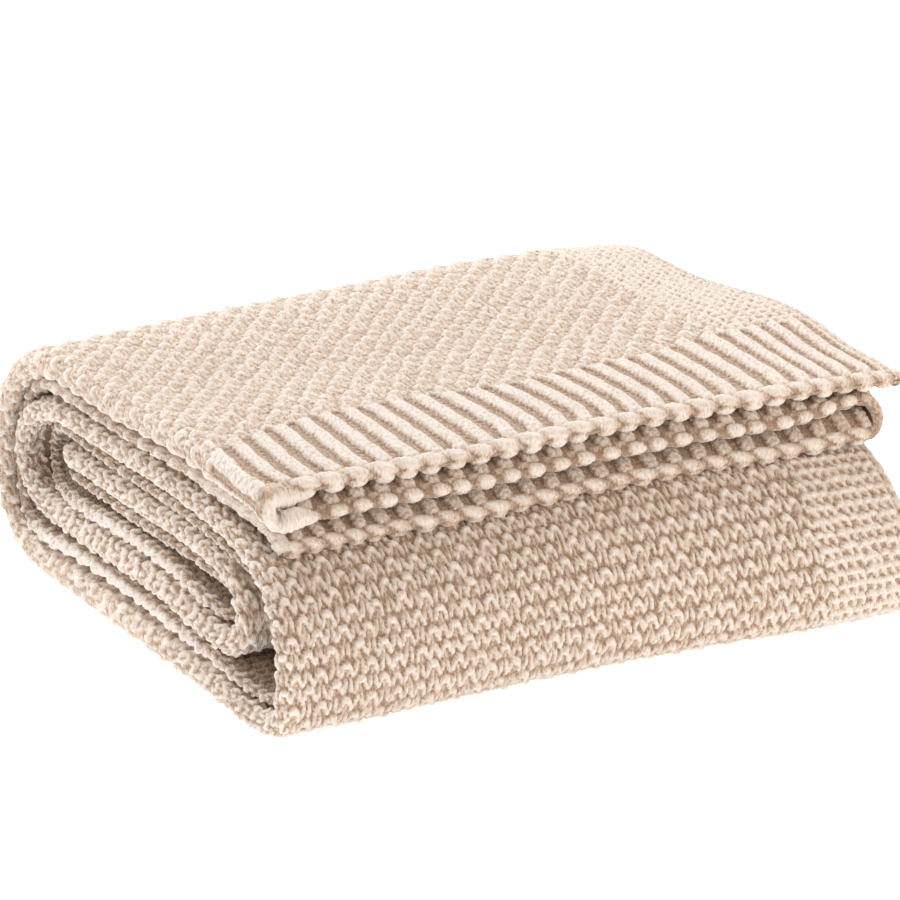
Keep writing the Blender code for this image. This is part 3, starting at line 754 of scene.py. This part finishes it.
def wrapped_edge(name, places, edge, height_of, material):
    """Carries yarn round an edge of the sheet, from side A to side B; edge is hem, end, right or left."""
    flat_run = spread(WRAP_REACH, WRAP_CENTRE, WRAP_STEP)
    inward = np.concatenate([flat_run, np.full(WRAP_TURN_STEPS - 1, WRAP_CENTRE), flat_run[::-1]])
    angle = np.concatenate([np.zeros(len(flat_run)), np.linspace(0.0, math.pi, WRAP_TURN_STEPS + 1)[1:-1],
                            np.full(len(flat_run), math.pi)])
    past_turn = np.where(angle >= math.pi, math.pi * WRAP_ARC + inward - WRAP_CENTRE, angle * WRAP_ARC)
    w = np.where(angle == 0.0, WRAP_CENTRE - inward, past_turn)
    grid_in, grid_t = np.meshgrid(inward, places)
    grid_angle, _ = np.meshgrid(angle, places)
    grid_w, _ = np.meshgrid(w, places)
    inn, tt, ang, ww = grid_in.ravel(), grid_t.ravel(), grid_angle.ravel(), grid_w.ravel()
    if edge == "hem":
        uu, ss = tt, inn
    elif edge == "end":
        uu, ss = tt, PATH.length - inn
    elif edge == "right":
        uu, ss = inn, tt
    else:
        uu, ss = SHEET_WIDTH - inn, tt
    centre, across, along, normal = sheet_frame(uu, ss)
    off = {"hem": -along, "end": along, "right": -across, "left": across}[edge]
    height = height_of(tt, ww)
    rough = fuzz(tt, ww)
    # The inner plies' cast-off edges, which lie under the outer one, take extra painted shade, and each
    # edge's yarn is taken as lying lower for its painted shade
    painted_shade = HEM_EDGE_PAINTED_SHADE * smooth_step(tt, OUTER_END, MIDDLE_START) if edge == "hem" else 0.0
    painted_shade_and_tone = np.clip(cavity(height - EDGE_PAINTED_SHADE_DROP[edge]) + painted_shade - FUZZ_TONE * rough, 0.0, 1.0)
    ease = smooth_step(WRAP_REACH - inn, 0.0, WRAP_EASE)
    height = WRAP_LOW + (height + WRAP_FUZZ * rough - WRAP_LOW) * ease
    direction = np.cos(ang)[:, None] * normal + np.sin(ang)[:, None] * off
    points = centre + height[:, None] * direction
    points[:, 2] = np.maximum(points[:, 2], 0.0)
    faces = grid_faces(len(places), len(w), edge in ("right", "end"))
    round_edge = {
        "hem": (tt, -ww),
        "end": (tt, PATH.length + ww),
        "right": (-ww, tt),
        "left": (SHEET_WIDTH + ww, tt),
    }
    piece = mesh_piece(name, points, faces, np.stack(round_edge[edge], axis=1), painted_shade_and_tone)
    piece.data.materials.append(material)
    return piece


def spread(start, end, step):
    """Evenly spaced places from start to end, about a step apart."""
    return np.linspace(start, end, max(2, int(round(abs(end - start) / step)) + 1))


def joined(*runs):
    """Joins runs of places that meet end to end."""
    out = list(runs[0])
    for run in runs[1:]:
        out.extend(run[1:])
    return np.array(out)


def core_sheet(material):
    """The whole cloth as one closed, thin folded sheet, on which the stitches stand."""
    columns = joined(spread(0.0, OUTER_END, 11.0 * MM), spread(OUTER_END, MIDDLE_START, 1.8 * MM),
                     spread(MIDDLE_START, MIDDLE_END, 11.0 * MM), spread(MIDDLE_END, INNER_START, 1.8 * MM),
                     spread(INNER_START, SHEET_WIDTH, 11.0 * MM))
    rows = spread(0.0, PATH.length, 8.5 * MM)
    grid_u, grid_s = np.meshgrid(columns, rows)
    uu, ss = grid_u.ravel(), grid_s.ravel()
    centre, _, _, normal = sheet_frame(uu, ss)
    count = len(centre)
    top, under = centre + CORE_HALF * normal, centre - CORE_HALF * normal
    points = np.vstack([top, under])
    n_rows, n_columns = len(rows), len(columns)
    faces = [grid_faces(n_rows, n_columns, False), grid_faces(n_rows, n_columns, True) + count]
    index = np.arange(count).reshape(n_rows, n_columns)
    for line, flip in ((index[0], True), (index[-1], False), (index[:, 0], False), (index[:, -1], True)):
        quad = np.stack([line[:-1], line[1:], line[1:] + count, line[:-1] + count], axis=1)
        faces.append(quad[:, ::-1] if not flip else quad)
    flat = np.stack([uu, ss], axis=1)
    # The core sheet lies deep under the stitches and takes a constant painted shade
    painted_shade_and_tone = np.full(2 * count, CORE_PAINTED_SHADE)
    piece = mesh_piece("throw_cloth", points, np.vstack(faces), np.vstack([flat, flat]), painted_shade_and_tone)
    piece.data.materials.append(material)
    return piece


def knit_material():
    """Cream yarn: its own colour on its crowns, with painted shade that browns and darkens it in its pits,
    with fine twisted strands and fuzz.
    """
    material = bpy.data.materials.new("knit_yarn_look")
    material.use_nodes = True
    nodes, links = material.node_tree.nodes, material.node_tree.links
    shader = nodes["Principled BSDF"]
    shader.inputs["Roughness"].default_value = YARN_ROUGHNESS
    shader.inputs["Specular IOR Level"].default_value = YARN_SPECULAR
    shader.inputs["Sheen Weight"].default_value = YARN_SHEEN
    shader.inputs["Sheen Roughness"].default_value = YARN_SHEEN_ROUGHNESS
    # The attribute's painted shade and random tone, with the strands' random tone, pick the colour on the
    # ramp from yarn colour to painted shade
    painted_shade_and_tone = nodes.new("ShaderNodeAttribute")
    painted_shade_and_tone.attribute_name = "painted_shade_and_tone"
    flat = nodes.new("ShaderNodeUVMap")
    flat.uv_map = "flat"
    stretch = nodes.new("ShaderNodeMapping")
    stretch.inputs["Scale"].default_value = STRAND_STRETCH
    links.new(flat.outputs["UV"], stretch.inputs["Vector"])
    strands = nodes.new("ShaderNodeTexNoise")
    strands.inputs["Scale"].default_value = STRAND_SCALE
    strands.inputs["Detail"].default_value = 3.0
    strands.inputs["Roughness"].default_value = 0.6
    links.new(stretch.outputs["Vector"], strands.inputs["Vector"])
    spread_out = nodes.new("ShaderNodeMath")
    spread_out.operation = "MULTIPLY_ADD"
    spread_out.inputs[1].default_value = STRAND_TONE
    spread_out.inputs[2].default_value = STRAND_TONE_SHIFT
    links.new(strands.outputs["Fac"], spread_out.inputs[0])
    shade_and_tone = nodes.new("ShaderNodeMath")
    shade_and_tone.operation = "ADD"
    links.new(painted_shade_and_tone.outputs["Fac"], shade_and_tone.inputs[0])
    links.new(spread_out.outputs["Value"], shade_and_tone.inputs[1])
    ramp = nodes.new("ShaderNodeValToRGB")
    ramp.color_ramp.elements[0].position = 0.05
    ramp.color_ramp.elements[0].color = CROWN_COLOUR
    ramp.color_ramp.elements[1].position = 1.0
    ramp.color_ramp.elements[1].color = PIT_PAINTED_SHADE_COLOUR
    middle = ramp.color_ramp.elements.new(0.5)
    middle.color = HALF_PAINTED_SHADE_COLOUR
    links.new(shade_and_tone.outputs["Value"], ramp.inputs["Fac"])
    bump = nodes.new("ShaderNodeBump")
    bump.inputs["Strength"].default_value = 1.0
    bump.inputs["Distance"].default_value = STRAND_BUMP
    links.new(strands.outputs["Fac"], bump.inputs["Height"])
    links.new(bump.outputs["Normal"], shader.inputs["Normal"])
    links.new(ramp.outputs["Color"], shader.inputs["Base Color"])
    return material


def floor_and_lights():
    """A plain pale floor, a broad soft light above and behind, a weak one at the front right, and a sky."""
    mesh = bpy.data.meshes.new("floor")
    bm = bmesh.new()
    bmesh.ops.create_grid(bm, x_segments=1, y_segments=1, size=FLOOR_HALF_SIZE)
    bm.to_mesh(mesh)
    bm.free()
    floor = bpy.data.objects.new("floor", mesh)
    bpy.context.scene.collection.objects.link(floor)
    material = bpy.data.materials.new("floor_white")
    material.use_nodes = True
    shader = material.node_tree.nodes["Principled BSDF"]
    shader.inputs["Base Color"].default_value = FLOOR_COLOUR
    shader.inputs["Roughness"].default_value = FLOOR_ROUGHNESS
    shader.inputs["Emission Color"].default_value = (1.0, 1.0, 1.0, 1.0)
    shader.inputs["Emission Strength"].default_value = FLOOR_GLOW
    mesh.materials.append(material)
    world = bpy.data.worlds.new("pale_sky")
    world.use_nodes = True
    world.node_tree.nodes["Background"].inputs["Color"].default_value = SKY_COLOUR
    world.node_tree.nodes["Background"].inputs["Strength"].default_value = SKY_STRENGTH
    bpy.context.scene.world = world
    for name, place, size, power, colour in LAMPS:
        light = bpy.data.lights.new(name, "AREA")
        light.shape = "DISK"
        light.size = size
        light.energy = power
        light.color = colour
        lamp = bpy.data.objects.new(name, light)
        lamp.location = place
        lamp.rotation_euler = (VIEW_TARGET - Vector(place)).to_track_quat("-Z", "Y").to_euler()
        bpy.context.scene.collection.objects.link(lamp)


def camera():
    """The photograph's long-lens view from the front left, a little above."""
    data = bpy.data.cameras.new("view")
    data.lens = LENS
    data.sensor_width = SENSOR
    data.clip_end = CLIP_END
    view = bpy.data.objects.new("view", data)
    direction = Vector((math.sin(VIEW_AZIMUTH) * math.cos(VIEW_ELEVATION),
                        -math.cos(VIEW_AZIMUTH) * math.cos(VIEW_ELEVATION), math.sin(VIEW_ELEVATION)))
    view.location = VIEW_TARGET + VIEW_DISTANCE * direction
    view.rotation_euler = (-direction).to_track_quat("-Z", "Y").to_euler()
    bpy.context.scene.collection.objects.link(view)
    bpy.context.scene.camera = view


def outer_columns(step):
    """Columns from the right selvedge, over the outer layer and round the left fold."""
    return joined(spread(SKIN_EDGE, OUTER_END, step), spread(OUTER_END, MIDDLE_START, FOLD_STEP),
                  spread(MIDDLE_START, MIDDLE_START + PAST_FOLD, 1.3 * MM))


def inner_skins(material):
    """The stitches of the folds, the hollows and the hem's inner layers."""
    end = PATH.length
    left_columns = joined(spread(OUTER_END - LEFT_SKIN_WIDTH, OUTER_END, 1.4 * MM),
                          spread(OUTER_END, MIDDLE_START, FOLD_STEP),
                          spread(MIDDLE_START, MIDDLE_START + PAST_FOLD, 1.4 * MM))
    right_columns = joined(spread(MIDDLE_END - PAST_FOLD, MIDDLE_END, 1.6 * MM),
                           spread(MIDDLE_END, INNER_START, 1.0 * MM),
                           spread(INNER_START, INNER_START + PAST_RIGHT_FOLD, 1.6 * MM))
    inside_columns = spread(SHEET_WIDTH - INSIDE_WIDTH, SHEET_WIDTH - SKIN_EDGE, 1.8 * MM)
    hollow_columns = spread(INNER_START + HOLLOW_NEAR, INNER_START + HOLLOW_FAR, 2.4 * MM)
    third_columns = spread(INNER_START, SHEET_WIDTH - SKIN_EDGE, 1.25 * MM)
    # The skins inside the roll, in the hollow and on the hem's inner layers take extra painted shade
    return [
        stitched_face("stitches_inner_left", left_columns, spread(LEFT_SKIN_START, end, 1.6 * MM),
                      SIDE_A, material),
        stitched_face("stitches_inside", inside_columns, spread(INSIDE_START, end, 1.9 * MM),
                      SIDE_B, material, INSIDE_PAINTED_SHADE),
        stitched_face("stitches_hollow", hollow_columns, spread(HOLLOW_START, HOLLOW_END, 2.4 * MM),
                      SIDE_B, material, HOLLOW_PAINTED_SHADE),
        stitched_face("stitches_inner_right", spread(SKIN_EDGE, INNER_RIGHT_WIDTH, 2.6 * MM),
                      spread(INNER_RIGHT_START, end, 2.6 * MM), SIDE_A, material),
        stitched_face("stitches_right_fold", right_columns, spread(SKIN_EDGE, end, 1.8 * MM),
                      SIDE_B, material),
        stitched_face("stitches_second_hem", spread(MIDDLE_START, MIDDLE_END, 1.25 * MM),
                      spread(SKIN_EDGE, SECOND_HEM_END, 1.25 * MM), SIDE_B, material, INNER_HEM_PAINTED_SHADE),
        stitched_face("stitches_third_hem", third_columns, spread(SKIN_EDGE, THIRD_HEM_END, 1.25 * MM),
                      SIDE_A, material, INNER_HEM_PAINTED_SHADE),
    ]


def edges(material):
    """The yarn carried round the hem, the end inside the roll and the two side edges."""
    end_places = spread(OUTER_END - LEFT_SKIN_WIDTH, MIDDLE_START + INNER_END_PAST, 1.2 * MM)
    side_places = spread(0.0, PATH.length, 1.5 * MM)
    return [
        wrapped_edge("hem_edge", spread(0.0, SHEET_WIDTH, 1.1 * MM), "hem", hem_edge_height, material),
        wrapped_edge("inner_end", end_places, "end", inner_end_height, material),
        wrapped_edge("right_selvedge", side_places, "right", selvedge_height, material),
        wrapped_edge("left_selvedge", side_places, "left", inner_selvedge_height, material),
    ]


def main():
    camera()
    floor_and_lights()
    bpy.context.scene.view_settings.view_transform = "Standard"
    yarn = knit_material()
    cloth = core_sheet(yarn)
    skins = []
    for name, step_across, start, end, step_along in OUTER_SKINS:
        rows = spread(start * MM, end * MM, step_along * MM)
        skins.append(stitched_face(name, outer_columns(step_across * MM), rows, SIDE_A, yarn))
    skins += inner_skins(yarn)
    skins += edges(yarn)
    for piece in [cloth] + skins:
        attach(piece, "root")
        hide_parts("throw")


main()
